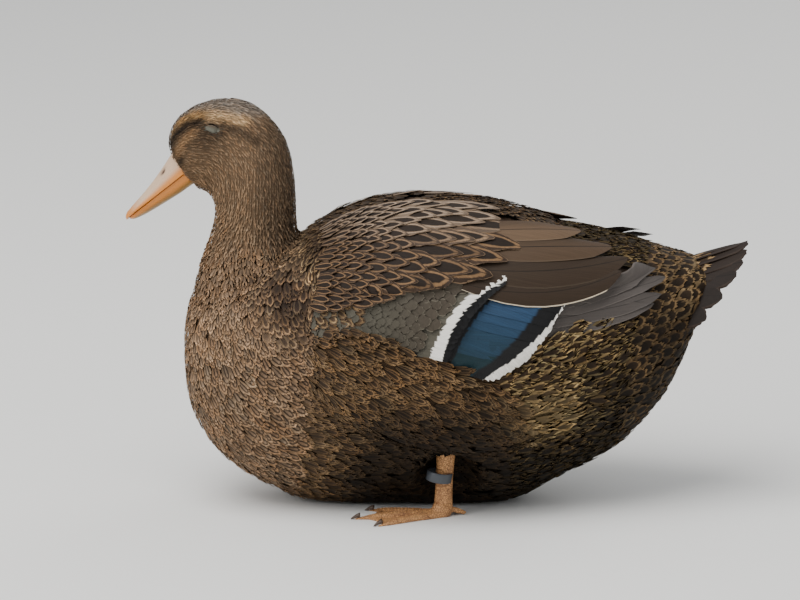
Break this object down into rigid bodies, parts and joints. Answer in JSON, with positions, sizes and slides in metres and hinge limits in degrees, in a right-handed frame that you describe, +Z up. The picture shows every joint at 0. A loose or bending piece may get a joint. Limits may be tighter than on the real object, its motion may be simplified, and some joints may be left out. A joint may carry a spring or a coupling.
{
  "type": "duck",
  "caption": "Life-size still model of a brown farmyard duck hen resting low on the keel, head turned aside, with blue wing patches and a leg ring.",
  "frame": {"origin": "on the ground, under the middle of the bird's bounding box", "axes": "-X the way the bird faces, -Y its left side, +Z up"},
  "size_m": [0.4966, 0.2098, 0.3255],
  "materials": {
    "head_plumage": "short matt feathers, streaked grey-brown",
    "body_plumage": "matt feathers, brown with buff edges",
    "back_plumage": "matt feathers, dark brown with pale edges",
    "wing_plumage": "smooth grey-brown feathers",
    "wing_patch": "sheeny blue feathers between black and white bars",
    "flight_feathers": "smooth slate-grey feathers",
    "bill_horn": "waxy orange horn",
    "leg_skin": "scaly orange-brown skin",
    "eye": "wet dark brown",
    "ring_plastic": "dark slate-blue plastic"
  },
  "bodies": {
    "root": {"bill_lower": "bill_horn", "bill_upper": "bill_horn", "breast": "body_plumage", "eye_left": "eye", "eye_right": "eye", "flank_left": "body_plumage", "flank_right": "body_plumage", "foot_left": "leg_skin", "foot_right": "leg_skin", "head": "head_plumage", "leg_ring": "ring_plastic", "mantle": "back_plumage", "neck": "head_plumage", "primaries_left": "flight_feathers", "primaries_right": "flight_feathers", "rump": "back_plumage", "shank_left": "leg_skin", "shank_right": "leg_skin", "speculum_left": "wing_patch", "speculum_right": "wing_patch", "tail": "back_plumage", "trunk": "body_plumage", "wing_left": "wing_plumage", "wing_right": "wing_plumage"}
  },
  "joints": []
}
